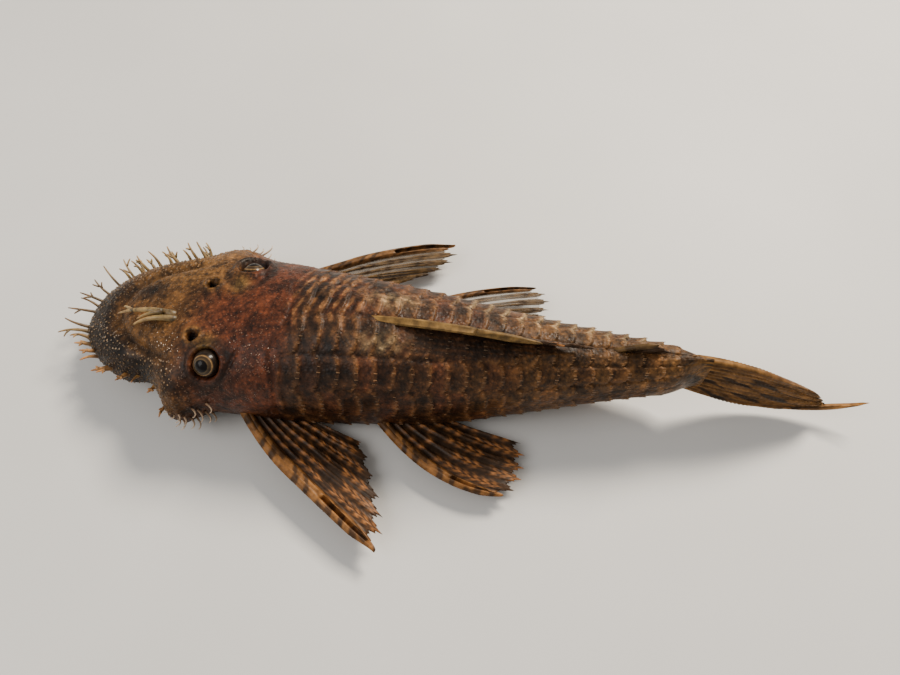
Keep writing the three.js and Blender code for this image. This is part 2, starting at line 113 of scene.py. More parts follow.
def section(s):
    f = bodyForm
    t = np.clip(np.asarray(s, float) / f["snoutReach"], 0, 1)
    plan = (1 - (1 - t) ** f["snoutRound"]) ** (1 / f["snoutRound"])
    rise = (1 - (1 - t) ** 2) ** f["snoutRise"]
    chin = f["mouthClear"] * (1 - ease(s, 17.4, 23))
    under = mix(f["snoutHeight"], chin, ease(s, 0, 2.5))
    half = along(f["stations"], 1, s) * plan
    back = mix(f["snoutHeight"], along(f["stations"], 2, s), rise)
    belly = np.maximum(along(f["stations"], 3, s), under)
    edge = mix(f["snoutHeight"], along(f["stations"], 4, s), rise)
    upper = along(f["stations"], 5, s)
    lower = mix(4, 2.3, ease(s, 60, 95))
    return half, back, belly, edge, upper, lower


def halfOn(side, s):
    left, right = (
        sum(swell * bump(s - at, length) for at, length, swell in bodyForm[key])
        for key in ("leftBulges", "rightBulges")
    )
    return section(s)[0] + np.where(np.asarray(side) < 0, left, right)


def outline(s, turn, lift=0.0):
    _, back, belly, edge, upper, lower = section(s)
    across = np.sin(turn * 2 * np.pi)
    half = halfOn(across, s)
    up = np.cos(turn * 2 * np.pi)
    power = 2 / np.where(up > 0, upper, lower)
    y = np.sign(across) * np.abs(across) ** power * (half + lift)
    crown = edge + (back + lift - edge) * np.abs(up) ** power
    keel = edge - (edge - belly + bodyForm["bellyFlat"] + lift) * np.abs(up) ** power
    return y, np.where(up > 0, crown, np.maximum(keel, belly - lift))


def place(s, y, z):  # s, y, z on the bent and leaning midline, as points in space
    s, y, z = np.broadcast_arrays(np.asarray(s, float), y, z)
    slope = along(bodyForm["midline"], 1, s + 0.5) - along(bodyForm["midline"], 1, s - 0.5)
    turned = np.arctan(slope)
    across = y - along(bodyForm["midline"], 2, s) * (z - section(s)[3])
    side = along(bodyForm["midline"], 1, s)
    x = s - bodyForm["originS"] - across * np.sin(turned)
    return np.stack([x, side + across * np.cos(turned), z], -1)


def onSkin(s, turn, lift=0.0):
    y, z = outline(s, turn)
    y1, z1 = outline(s, turn, 1.0)
    return place(s, y + (y1 - y) * lift, z + (z1 - z) * lift)


def meshFrom(bm, name):
    mesh = bpy.data.meshes.new(name)
    bm.to_mesh(mesh)
    bm.free()
    return mesh


def placed(name, data):  # a new object in the scene
    piece = bpy.data.objects.new(name, data)
    bpy.context.collection.objects.link(piece)
    return piece


def lattice(name, nu, nv, shape, weld, attributes=None):
    # A grid whose corners shape(u, v) moves into place, with u and v from 0 to 1
    bm = bmesh.new()
    bm.loops.layers.uv.new("patternMap")
    bmesh.ops.create_grid(bm, x_segments=nu, y_segments=nv, size=0.5, calc_uvs=True)
    mesh = meshFrom(bm, name)
    flat = np.empty(len(mesh.vertices) * 3)
    mesh.vertices.foreach_get("co", flat)
    flat = flat.reshape(-1, 3)
    u, v = flat[:, 0] + 0.5, flat[:, 1] + 0.5
    mesh.vertices.foreach_set("co", (shape(u, v) * mm).astype(np.float32).ravel())
    for key, values in (attributes(u, v) if attributes else {}).items():
        kind, field = ("FLOAT_COLOR", "color") if values.ndim == 2 else ("FLOAT", "value")
        layer = mesh.attributes.new(key, kind, "POINT")
        layer.data.foreach_set(field, values.astype(np.float32).ravel())
    bm = bmesh.new()
    bm.from_mesh(mesh)
    bmesh.ops.remove_doubles(bm, verts=bm.verts, dist=weld * mm)
    bmesh.ops.recalc_face_normals(bm, faces=bm.faces)
    bm.to_mesh(mesh)
    bm.free()
    mesh.polygons.foreach_set("use_smooth", np.ones(len(mesh.polygons), bool))
    return placed(name, mesh)


def finish(piece, material, slot, *nodes):
    piece.data.materials.clear()
    piece.data.materials.append(material)
    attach(piece, "root")
    if nodes:
        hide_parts(*nodes)
    return piece


def joined(name, pieces):  # several meshes made one object
    bm = bmesh.new()
    for piece in pieces:
        bm.from_mesh(piece.data)
    mesh = meshFrom(bm, name)
    for piece in pieces:
        old = piece.data
        bpy.data.objects.remove(piece)
        bpy.data.meshes.remove(old)
    return placed(name, mesh)


# Material building blocks
class Shade:
    def __init__(self, name, roughness, inputs):
        self.material = bpy.data.materials.new(name)
        self.material.use_nodes = True
        self.tree = self.material.node_tree
        self.bsdf = self.tree.nodes["Principled BSDF"]
        self.bsdf.inputs["Roughness"].default_value = roughness
        for key, value in inputs.items():
            self.bsdf.inputs[key].default_value = value

    def node(self, kind, **settings):
        node = self.tree.nodes.new("ShaderNode" + kind)
        for key, value in settings.items():
            setattr(node, key, value)
        return node

    def link(self, source, target):
        self.tree.links.new(source, target)

    def coords(self):
        return self.node("TexCoord").outputs["Object"]

    def noise(self, scale, detail=4.0, rough=0.55, distortion=0.0):
        node = self.node("TexNoise")
        node.inputs["Scale"].default_value = scale
        node.inputs["Detail"].default_value = detail
        node.inputs["Roughness"].default_value = rough
        node.inputs["Distortion"].default_value = distortion
        self.link(self.coords(), node.inputs["Vector"])
        return node.outputs["Fac"]

    def cells(self, scale):
        node = self.node("TexVoronoi")
        node.inputs["Scale"].default_value = scale
        self.link(self.coords(), node.inputs["Vector"])
        return node.outputs["Distance"]

    def ramp(self, source, *stops):  # stops are (place, value or colour)
        node = self.node("ValToRGB")
        elements = node.color_ramp.elements
        while len(elements) < len(stops):
            elements.new(0.5)
        for element, (at, colour) in zip(elements, stops):
            element.position = at
            grey = isinstance(colour, (int, float))
            element.color = (colour, colour, colour, 1) if grey else (*colour, 1)
        self.link(source, node.inputs["Fac"])
        return node.outputs["Color"]

    def multiply(self, a, b, factor=1.0):
        node = self.node("Mix", data_type="RGBA", blend_type="MULTIPLY")
        node.inputs[0].default_value = factor
        self.link(a, node.inputs[6])
        self.link(b, node.inputs[7])
        return node.outputs[2]

    def attribute(self, name, output="Fac"):
        return self.node("Attribute", attribute_name=name).outputs[output]

    def colour(self, source):
        self.link(source, self.bsdf.inputs["Base Color"])

    def rough(self, source, low, high):
        self.link(self.ramp(source, (0.3, low), (0.7, high)), self.bsdf.inputs["Roughness"])

    def relief(self, source, strength, distance, onto=None):
        node = self.node("Bump")
        node.inputs["Strength"].default_value = strength
        node.inputs["Distance"].default_value = distance * mm
        self.link(source, node.inputs["Height"])
        if onto:
            self.link(onto, node.inputs["Normal"])
        self.link(node.outputs["Normal"], self.bsdf.inputs["Normal"])
        return node.outputs["Normal"]


tones = {
    "brown": (0.078, 0.034, 0.013),
    "red": (0.098, 0.028, 0.012),
    "dark": (0.011, 0.0065, 0.0045),
    "black": (0.003, 0.002, 0.002),
    "ochre": (0.165, 0.088, 0.026),
    "tan": (0.24, 0.122, 0.048),
    "cream": (0.42, 0.32, 0.175),
    "belly": (0.32, 0.22, 0.13),
    "fin": (0.028, 0.015, 0.008),
    "spot": (0.3, 0.12, 0.036),
    "olive": (0.2, 0.13, 0.04),
    "bar": (0.022, 0.012, 0.007),
}

warmth = np.array((0.93, 0.83, 0.75))  # the whole skin a little darker and warmer

# Camera at the photograph's place: its position, forward and right directions in the fish's frame
view = {
    "place": (25.45, -69.37, 120.99),
    "forward": (-0.0405, 0.5435, -0.8384),
    "right": (0.9918, 0.1235, 0.0322),
    "lens": 32.0,
    "clip": 0.01,  # metres
}
camera = placed("camera", bpy.data.cameras.new("camera"))
camera.data.lens = view["lens"]
camera.data.sensor_fit = "HORIZONTAL"
camera.data.clip_start = view["clip"]
backward = -Vector(view["forward"]).normalized()
rightward = Vector(view["right"]).normalized()
upward = backward.cross(rightward).normalized()
rightward = upward.cross(backward)
facing = Matrix((rightward, upward, backward)).transposed().to_4x4()
camera.matrix_world = Matrix.Translation(Vector(view["place"]) * mm) @ facing
bpy.context.scene.camera = camera
print("camera placed")

# Skin: head, trunk and tail stalk in one closed surface
skinForm = {
    "headEnd": 38.0,
    "headLines": 190,
    "plateLines": 15,  # along one plate
    "around": 168,
    "columns": 24,
    "rows": 5,
    "plateTurn": 0.41,
    "plateRise": 0.34,
    "rowGroove": 0.25,
    "scallop": 0.75,
    "tailThin": 0.3,
    "topShare": 0.064,
    "slant": 0.55,
    "headHalf": 14,
    "snoutTip": (-41.98, 1.0, 4.4),
    "tailEnd": (62.0, 1.1, 11.0),
    "tailLevel": 11.1,
}
platePitch = (bodyForm["length"] - skinForm["headEnd"]) / skinForm["columns"]
# how high each form stands on the skin, or how deep it is cut
reliefForm = {
    "keel": 0.18,
    "rimRidge": 0.3,
    "rimFold": 0.62,
    "snoutCrest": 0.22,
    "gillSlit": 0.3,
    "shieldEdge": 0.22,
    "cheekFolds": 0.3,
}
hashWeights = (12.9898, 78.233, 37.719, 4.581)
hashScale = 43758.5453
eyeForm = {
    "left": (26.5, -9.1, 14.6),
    "right": (28.5, 8.25, 14.1),
    "radius": 2.2,
    "tilt": 0.8,
    "socket": 2.3,
    "lid": 0.5,
    "brow": 0.55,
    "cornea": 0.22,
}
nostrilForm = {"s": 22.9, "y": 5.1, "radius": 0.8, "depth": 1.7, "rim": 0.34, "flap": 0.5}


def eyeCentre(side):
    return place(*eyeForm["left" if side < 0 else "right"]).reshape(3)


def eyeAxis(side):
    axis = np.array([-0.12, side * math.cos(eyeForm["tilt"]), math.sin(eyeForm["tilt"])])
    return axis / np.linalg.norm(axis)


def nostrilPlace(side):
    _, back, _, edge, upper, _ = section(nostrilForm["s"])
    half = halfOn(side, nostrilForm["s"])
    z = edge + (back - edge) * (1 - (nostrilForm["y"] / half) ** upper) ** (1 / upper)
    return place(nostrilForm["s"], side * nostrilForm["y"], z).reshape(3)


def rimShare(s, y):  # 1 on the snout's rim, less towards the top of the head
    reach = bodyForm["snoutReach"]
    return np.sqrt((np.clip(reach - s, 0, None) / reach) ** 2 + (y / skinForm["headHalf"]) ** 2)


def plateAt(s, turn):
    # Column and row of the plate at a point, and how far along and across it the point is
    side = np.where(turn > 0.5, 1, 0)
    m = np.where(turn > 0.5, 1 - turn, turn)
    row = np.floor(m / skinForm["plateTurn"] * skinForm["rows"])
    across = m / skinForm["plateTurn"] * skinForm["rows"] - row
    corner = np.abs(2 * across - 1) ** 3
    slant = skinForm["slant"] * (row % skinForm["rows"])
    q = (s - skinForm["headEnd"] + skinForm["scallop"] * corner - slant) / platePitch
    column = np.floor(q)
    return column, row, side, q - column, across, m


def hashed(*keys):  # a fixed chance from 0 to 1 for each set of keys
    mixed = sum(np.asarray(k, float) * w for k, w in zip(keys, hashWeights))
    return np.modf(np.abs(np.sin(mixed) * hashScale))[0]


def foldMask(s, turn):  # where the folded dorsal fin lies against the near side of the back
    reach = mix(0.085, 0.03, ease(s, 66, 84))
    return ease(s, 53, 58) * (1 - ease(s, 80, 87)) * ease(turn, 1 - reach, 1 - reach * 0.75)


def skinRelief(s, turn):
    f = reliefForm
    y = outline(s, turn)[0]
    column, row, side, run, across, m = plateAt(s, turn)
    plated = ease(s, skinForm["headEnd"] - 0.5, skinForm["headEnd"] + 1.5) * (1 - ease(m, 0.4, 0.415))
    plated = plated * (1 - 0.85 * ease(s, 95, 102)) * (1 - 0.8 * foldMask(s, turn))
    plated = plated * (0.75 + 0.45 * hashed(column, row, side, 2))
    tile = skinForm["plateRise"] * np.where(run < 0.9, (run / 0.9) ** 1.4, 1 - ease(run, 0.9, 1.0))
    groove = skinForm["rowGroove"] * bump(np.abs(across - 0.5) - 0.5, 0.1)
    keel = f["keel"] * bump(across - 0.5, 0.16) * run
    sides = 1 - 0.55 * ease(m, 0.15, 0.24)
    lift = plated * sides * (tile - groove + keel)
    top = np.where(m < 0.27, 1.0, 0.0)
    rim = rimShare(s, y)
    snout = top * (1 - ease(s, 17, 22))
    lift = lift + snout * (f["rimRidge"] * bump(rim - 0.82, 0.07) - f["rimFold"] * bump(rim - 0.68, 0.04))
    lift = lift + top * f["snoutCrest"] * bump(y, 1.2) * bump(s - 26, 7)
    # gill cover and shield edges behind the eye
    cover = s - 31.5 + 0.035 * (y / 3) ** 4 * 0.3
    lift = lift - f["gillSlit"] * np.where((np.abs(y) > 7) & (m < 0.3), bump(cover, 0.35), 0)
    shieldEdge = bump(s - 37.2 - 0.6 * np.cos(y * 0.5), 0.3) * ease(s, 30, 34)
    lift = lift - f["shieldEdge"] * top * shieldEdge
    cheek = bump(s - 22, 4) * bump(m - 0.24, 0.05)
    return lift + f["cheekFolds"] * cheek * np.sin(s * 3.1 + y)


def skinPlace(s, turn):
    y, z = outline(s, turn, skinRelief(s, turn))
    end = ease(s, 97.5, 104)
    y = y * mix(1, skinForm["tailThin"], end)
    z = mix(z, skinForm["tailLevel"], 0.16 * end)
    p = place(s, y, z)
    for side in (-1, 1):
        centre, axis = eyeCentre(side), eyeAxis(side)
        off = p - centre
        height = off @ axis
        span = np.linalg.norm(off - height[:, None] * axis, axis=1)
        near = height > -1.5
        lid = eyeForm["lid"] * bump(span - 2.85, 0.42)
        brow = eyeForm["brow"] * bump(span - 3.3, 0.9) * ease(-side * (p[:, 1] - centre[1]), -1, 3)
        p = p + np.where(near, lid + brow, 0)[:, None] * axis
        inside = near & (span < eyeForm["socket"])
        bowl = -np.sqrt(np.clip(eyeForm["socket"] ** 2 - span ** 2, 0, None))
        drop = np.where(inside, bowl - height, 0) * ease(-span, -2.3, -2.05)
        p = p + drop[:, None] * axis
        hole = nostrilPlace(side)
        away = np.linalg.norm((p - hole) * (0.85, 1, 0.8), axis=1)
        pit = nostrilForm["depth"] * (1 - ease(away, 0.4, nostrilForm["radius"] + 0.2))
        rim = nostrilForm["rim"] * bump(away - 1.3, 0.32)
        flap = nostrilForm["flap"] * bump(np.linalg.norm(p - hole - (-0.9, -0.5 * side, 0.3), axis=1), 0.45)
        p[:, 2] += rim - pit + flap
    return p


def skinPaint(s, turn):
    y = outline(s, turn)[0]
    column, row, side, run, across, m = plateAt(s, turn)
    chance = hashed(column, row, side)
    second = hashed(row, column, side, 3)
    paint = np.tile(tones["brown"], (len(s), 1))

    def over(colour, share):  # lays a tone over the paint so far
        paint[:] += (np.array(tones[colour]) - paint) * np.clip(share, 0, 1)[:, None]

    head = 1 - ease(s, 37, 40)
    top = 1 - ease(m, 0.2, 0.3)
    rim = rimShare(s, y)
    # red top of the head, ochre snout and far cheek, dark rim, with painted shade in the crease inside the
    # rim
    over("red", head * top * 0.85 * ease(s, 20, 27))
    over("ochre", head * (1 - ease(s, 17, 23)) * 0.55)
    over("ochre", head * top * 0.75 * ease(y, 2, 7) * (1 - ease(s, 24, 30)) * ease(s, 6, 11))
    snout = (1 - ease(s, 15, 21)) * (1 - ease(m, 0.3, 0.36))
    over("dark", snout * ease(rim, 0.68, 0.8) * (0.93 - 0.6 * ease(y, 3, 9)))
    # painted shade along the crease inside the snout's rim
    over("dark", snout * 0.55 * bump(rim - 0.7, 0.03))
    # olive brow and dark lid, ochre and black nostril
    for sign in (-1, 1):
        eyeS, eyeY, _ = eyeForm["left" if sign < 0 else "right"]
        brow = np.hypot(s - eyeS + 0.8, y - eyeY + sign * 3.0)
        over("olive", 0.9 * bump(brow, 1.5) * top)
        lid = np.hypot(s - eyeS, y - eyeY)
        over("dark", 0.75 * bump(lid - 3.6, 0.8) * head)
        hole = np.hypot(s - nostrilForm["s"], y - sign * nostrilForm["y"])
        over("ochre", 0.8 * bump(hole - 1.3, 0.4) * top)
        over("black", (1 - ease(hole, 0.75, 1.0)) * top)
    # patches beside the middle of the snout and behind the eyes, ochre on the cheeks, and painted shade in
    # the cheek pockets
    over("dark", 0.95 * bump(s - 12, 4) * bump(y - 3.4, 1.9) * top)
    behindEye = bump(s - 29.5, 2.4) * bump(np.abs(y) - 12, 2.2) * (1 - ease(m, 0.27, 0.3))
    over("dark", 0.55 * behindEye)
    over("ochre", 0.6 * bump(s - 20.5, 3) * bump(m - 0.2, 0.04))
    # painted shade of the pocket that the cheek odontodes sit in
    over("dark", 0.85 * bump(s - 23.6, 1.8) * bump(m - 0.23, 0.025))
    # plates: a dark blotch on each, a tan rear edge, now and then a pale one
    plated = ease(s, 37.5, 39.5) * (1 - ease(m, 0.4, 0.43))
    blotch = bump(run - 0.4, 0.3) * bump(across - 0.5, 0.42)
    over("dark", plated * blotch * (0.45 + 0.6 * chance))
    edge = ease(run, 0.62, 0.86) * (1 - 0.5 * ease(run, 0.9, 1.0))
    broken = 0.5 + 0.5 * np.sin(across * 9 + 6.3 * second) * np.sin(across * 23 + 12 * chance)
    over("tan", plated * edge * (0.34 + 0.6 * second) * (0.5 + 0.5 * broken))
    over("tan", plated * 0.3 * bump(across - 0.5, 0.14) * bump(run - 0.6, 0.4) * chance)
    over("red", plated * 0.35 * ease(second, 0.6, 0.9))
    over("ochre", plated * ease(s, 60, 80) * 0.4)
    upperRight = plated * (1 - side) * ease(s, 60, 66) * (1 - ease(s, 92, 98)) * bump(m - 0.1, 0.05)
    over("cream", upperRight * edge * 0.75)
    pale = 0.36 + 0.36 * np.sin(s * 2.6 + m * 55) * np.sin(m * 120)
    over("cream", plated * bump(s - 53, 3.6) * bump(m - 0.05, 0.022) * pale)
    # streaks behind the head, and the pale belly
    streak = np.sin((s - 0.35 * np.abs(y)) * 3.4)
    streak = streak + 0.5 * np.sin(y * 2.1 + s) * np.sin(s * 1.3)
    nuchal = ease(s, 36, 38.5) * (1 - ease(s, 46, 50)) * (1 - ease(m, 0.1, 0.16))
    over("dark", nuchal * 0.6 * ease(streak, -0.2, 0.6))
    over("dark", 0.6 * bump(s - 43, 4.5) * bump(turn - 0.86, 0.06))
    over("tan", nuchal * 0.7 * ease(-streak, 0.5, 0.9) * ease(y, -4, 2))
    over("belly", ease(m, 0.4, 0.44) * 0.9)
    # the near face of the folded dorsal fin, and the marbled root of the tail
    fold = foldMask(s, turn)
    over("fin", fold * 0.9)
    over("brown", fold * 0.7 * ease(np.sin(m * 430 + 0.16 * s), 0.2, 0.8))
    end = ease(s, 94, 101) * (1 - ease(m, 0.4, 0.44))
    over("ochre", end * 0.55)
    over("ochre", end * ease(s, 98, 103) * 0.7)
    marbling = np.sin(s * 1.15 + m * 14) + np.sin(m * 31 - s * 0.5)
    over("dark", end * 0.8 * ease(marbling, 0.7, 1.3))
    return np.concatenate([paint * warmth, np.ones((len(s), 1))], 1)


skinLines = skinForm["headLines"] + skinForm["plateLines"] * skinForm["columns"]


def skinRun(v):  # spreads the lines of the skin's grid: close on the snout, even along the plates
    head = skinForm["headLines"]
    line = v * skinLines
    first = 0.02 + (skinForm["headEnd"] - 0.02) * np.clip(line / head, 0, 1) ** 1.5
    rest = skinForm["headEnd"] + (line - head) / skinForm["plateLines"] * platePitch
    return np.where(line < head, first, rest)


def skinTurn(u):  # closer lines on the back than on the belly
    return u - skinForm["topShare"] * np.sin(2 * np.pi * u)


def skinShape(u, v):
    s = skinRun(v)
    p = skinPlace(s, skinTurn(u))
    centre = np.where(v[:, None] < 0.5, skinForm["snoutTip"], skinForm["tailEnd"])
    ends = (v < 1e-6) | (v > 1 - 1e-6)
    return np.where(ends[:, None], centre, p)


skinMaterial = Shade("skinDamp", 0.5, {
    "Coat Weight": 0.04,
    "Coat Roughness": 0.3,
    "Specular IOR Level": 0.2,
    "Subsurface Weight": 0.04,
    "Subsurface Scale": 0.6 * mm,
    "Subsurface Radius": (1.0, 0.45, 0.25),
})
paint = skinMaterial.attribute("paint", "Color")
fleck = skinMaterial.ramp(skinMaterial.noise(900, 5, 0.7), (0.36, 0.3), (0.64, 1.6))
cloud = skinMaterial.ramp(skinMaterial.noise(260, 5, 0.65, distortion=0.8), (0.36, 0.35), (0.64, 1.5))
dots = skinMaterial.ramp(skinMaterial.cells(1500), (0.1, 1.6), (0.42, 0.72))
tinted = skinMaterial.multiply(skinMaterial.multiply(paint, fleck), cloud)
skinMaterial.colour(skinMaterial.multiply(tinted, dots, 0.75))
skinMaterial.rough(skinMaterial.noise(600, 3), 0.4, 0.66)
granules = skinMaterial.ramp(skinMaterial.cells(1500), (0.0, 1.0), (0.55, 0.0))
granules = skinMaterial.relief(granules, 0.55, 0.16)
skinMaterial.relief(skinMaterial.noise(480, 5, 0.65), 0.5, 0.35, granules)

skin = lattice(
    "skin",
    skinForm["around"],
    skinLines,
    skinShape,
    weld=0.004,
    attributes=lambda u, v: {"paint": skinPaint(skinRun(v), skinTurn(u))},
)
finish(skin, skinMaterial.material, "skin", "head", "trunk", "tail_stalk")
print("skin", len(skin.data.polygons))


def camel(name):  # the scene's name for the piece that takes a node's place
    first, *rest = name.split("_")
    return first + "".join(word.capitalize() for word in rest)


def spineTaper(t):  # full to near the tip, then blunt
    return mix(0.85, 1, bump(t - 0.35, 0.3)) * (1 - 0.55 * ease(t, 0.82, 1.0))


# Fins: closed sheets over the same rays as the solids, with branched and jointed rays
finForm = {
    "across": 16,  # lines of the grid from one ray to the next
    "lines": 110,  # lines of the grid along a ray
    "spineReach": 0.3,  # how far the spine stands before the first ray, in ray spaces
    "spine": 1.8,
    "ray": 1.0,
    "rayTip": 0.42,
    "web": 0.22,
    "edge": 0.06,
    "notch": 0.07,
    "fray": 0.025,
    "wave": 0.25,
    "waveAxis": 2,
    "base": tones["fin"],
    "rayTone": (0.07, 0.034, 0.015),
    "rayShow": 0.6,
    "spotTone": tones["spot"],
    "spots": 0.62,
    "spotPitch": 2.1,
    "spotFrom": 0.12,
    "seed": 1,
    "streaks": 0.0,
    "spineTone": (0.24, 0.105, 0.03),
    "bars": 0.8,
    "barPitch": 3.4,
    "stripes": 0.15,
    "clear": 0.2,
}


def finSheet(name, rays, changes):
    form = {**finForm, **changes}
    roots, tips, bends = (np.array([ray[k] for ray in rays], float) for k in range(3))
    last = len(rays) - 1
    lengths = np.linalg.norm(tips - roots, axis=1)

    def rayPath(i, t):
        t = t[:, None]
        return roots[i] + (tips[i] - roots[i]) * t + bends[i] * 4 * t * (1 - t)

    def sheetPath(w, t):
        inner = np.clip(w, 0, last - 1e-6)
        i = np.floor(inner).astype(int)
        f = inner - i
        middle = 1 - np.abs(2 * f - 1)
        fray = 0.5 - 0.5 * np.cos(f * 8 * np.pi)
        notch = 1 - form["notch"] * middle ** 0.7 - form["fray"] * fray
        local = mix(rayPath(i, t * notch), rayPath(i + 1, t * notch), f[:, None])
        away = rayPath(0 * i, t) - rayPath(0 * i + 1, t)
        away /= np.linalg.norm(away, axis=1)[:, None] + 1e-9
        outer = np.clip(-w / form["spineReach"], 0, 1)[:, None]
        local = local + away * outer * (form["spine"] * spineTaper(t) * 0.62)[:, None]
        local[:, form["waveAxis"]] += form["wave"] * np.sin(w * 1.9 + t * 5) * t * (w > 0)
        if "floor" in form:
            local[:, 2] = np.maximum(local[:, 2], form["floor"])
        return place(local[:, 0], local[:, 1], local[:, 2])

    def rayLook(w, t):  # how much a point lies on a ray, 0 to 1, with the rays forking twice
        f = np.abs(w - np.round(w))
        first = ease(t, 0.38, 0.62) * 0.17
        second = ease(t, 0.7, 0.9) * 0.085
        width = mix(0.17, 0.075, ease(t, 0.2, 0.8))
        on = 0 * f
        for a in (-1, 1):
            for b in (-1, 1):
                on = np.maximum(on, bump(f - (a * first + b * second), width))
        return np.where(w < 0.15, 1.0, on)

    def distance(w, t):  # from the root, along the nearest ray
        return lengths[np.clip(np.round(w).astype(int), 0, last)] * t

    def unfolded(u):  # the first half of u is the upper face, the second half comes back below
        share = np.where(u <= 0.5, u * 2, 2 - u * 2)
        return share * (last + form["spineReach"]) - form["spineReach"], np.where(u <= 0.5, 1.0, -1.0)

    def shape(u, t):
        w, face = unfolded(u)
        dw, dt = 0.04, 0.01
        sideways = sheetPath(np.minimum(w + dw, last), t) - sheetPath(np.maximum(w - dw, 0), t)
        lengthways = sheetPath(w, np.minimum(t + dt, 1)) - sheetPath(w, np.maximum(t - dt, 0))
        normal = np.cross(lengthways, sideways)
        normal /= np.linalg.norm(normal, axis=1)[:, None] + 1e-9
        joint = 1 + 0.1 * np.sin(distance(w, t) * 2 * np.pi / 0.75) * ease(t, 0.15, 0.3)
        ray = mix(form["ray"], form["rayTip"], t) * joint
        thick = mix(form["web"], ray, rayLook(w, t))
        before = np.clip(-w / form["spineReach"], 0, 1)
        spineThick = form["spine"] * spineTaper(t) * 0.8 * np.sqrt(1 - before ** 2)
        thick = mix(thick, spineThick, 1 - ease(w, 0.0, 0.6))
        rim = np.clip(np.minimum(t / 0.02, (1 - t) / 0.03), 0, 1) ** 0.5
        rim = rim * np.sqrt(np.clip((last - w) / form["edge"], 0, 1))
        return sheetPath(w, t) + normal * (face * thick * 0.5 * rim)[:, None]

    def paints(u, t):
        w, _ = unfolded(u)
        index = np.round(w)
        length = distance(w, t)
        on = rayLook(w, t)
        position = length / form["spotPitch"] + hashed(index, 5) * 0.9
        cell = np.floor(position)
        shown = (hashed(cell, index, form["seed"]) < form["spots"]) * 1.0
        spot = shown * bump(position - cell - 0.5, 0.27) * bump(w - index, 0.3)
        spot = spot * ease(t, form["spotFrom"], form["spotFrom"] + 0.2)
        paint = mix(np.array(form["base"]), np.array(form["rayTone"]), (on * form["rayShow"])[:, None])
        paint = mix(paint, np.array(form["spotTone"]), np.clip(spot * 1.15, 0, 1)[:, None])
        far = t * lengths.mean()
        streaks = np.sin(far * 0.62 + w * 2.3) + np.sin(far * 0.37 - w * 1.4 + 1)
        streaks = ease(streaks + 0.6 * np.sin(far * 1.3 + w * 4.1), -0.1, 1.2)
        dark = form["streaks"] * streaks * (1 - 0.7 * ease(w, last - 3.0, last - 1.0))
        paint = mix(paint, np.array(tones["dark"]), dark[:, None])
        bar = np.sin(length * 2 * np.pi / form["barPitch"] + 1.6 * np.sin(length * 0.8 + w * 4))
        bar = ease(bar + 0.5 * np.sin(w * 11 + length * 2.7), -0.1, 0.8)
        spineTone = mix(np.array(form["spineTone"]), np.array(tones["bar"]), bar[:, None] * form["bars"])
        stripe = form["stripes"] * np.sin(w * 38 + 1.5 * np.sin(length * 0.8)) * np.sin(length * 0.9)
        onSpine = 1 - ease(w, 0.2, 0.62)
        paint = mix(paint, spineTone * (1 + stripe)[:, None], onSpine[:, None])
        web = (1 - on) * (1 - np.clip(spot, 0, 1)) * ease(t, 0.1, 0.35) * (1 - onSpine)
        cover = 1 - form["clear"] * web
        return {"paint": np.concatenate([paint, cover[:, None]], 1), "cover": cover}

    around = 2 * form["across"] * last
    piece = lattice(camel(name), around, form["lines"], shape, weld=0.003, attributes=paints)
    return finish(piece, finMaterial.material, "fin", name)


finMaterial = Shade("finDamp", 0.5, {
    "Coat Weight": 0.06,
    "Coat Roughness": 0.3,
    "Specular IOR Level": 0.15,
})
finPaint = finMaterial.attribute("paint", "Color")
finFleck = finMaterial.ramp(finMaterial.noise(700, 5, 0.65), (0.35, 0.5), (0.65, 1.35))
finMaterial.colour(finMaterial.multiply(finPaint, finFleck))
finMaterial.link(finMaterial.attribute("cover"), finMaterial.bsdf.inputs["Alpha"])
finMaterial.rough(finMaterial.noise(500, 3), 0.42, 0.66)
finMaterial.relief(finMaterial.noise(900, 4), 0.4, 0.12)


def spreadRays(count, rayAt):
    return [rayAt(n / (count - 1)) for n in range(count)]


dorsalRays = spreadRays(8, lambda t: (
    (49.5 + 23.5 * t, 0, 19.7 - 3 * t),
    (76.5 + 8.5 * t, -2.2 + 1.4 * t, 20.6 - 2.6 * t),
    (0, 0, 0.9 * (1 - t)),
))
adiposeRays = spreadRays(3, lambda t: (
    (87.4 + 5.6 * t, 0, 15.2),
    (94.4 + 2.2 * t, 0, 18.8 - 2 * t),
    (0, 0, 0.5 * (1 - t)),
))
analRays = spreadRays(5, lambda t: (
    (76 + 4.2 * t, 0, 4.4 + 0.4 * t),
    (85.5 + 2.6 * t, 0, 1.2 + 1.5 * t),
    (0, 0, 0.5 * (t - 1)),
))
tailRays = spreadRays(12, lambda t: (
    (100.8, 0, mix(6.6, 15.6, t)),
    (132.4, 0, 5.7) if t == 0 else (126.6 - 2.6 * t, 0, mix(3.3, 6.6, t)),
    (0, 0, mix(-4.2, 1.9, t ** 0.8)),
))
# tip of each ray, as s and y
pairedTips = {
    "pectoral_fin_left": [
        (55, -32.7), (55.8, -30.4), (55.3, -27.6), (54.3, -24.4), (52.8, -21), (51.4, -17.9), (49.8, -15.2),
    ],
    "pectoral_fin_right": [
        (60.6, 26.8), (61.4, 25), (60.6, 23.2), (59, 21.6), (56.8, 20.1), (54, 18.6), (50.6, 16.8),
    ],
    "pelvic_fin_left": [
        (73.4, -21.7), (75.2, -20.8), (76.2, -18.8), (76.5, -16.6), (76.4, -14.3), (75.6, -12.2),
    ],
    "pelvic_fin_right": [
        (76.6, 19.2), (78.6, 18.2), (79.5, 16.7), (79.4, 15.2), (78.2, 13.8), (76.2, 12.5),
    ],
}
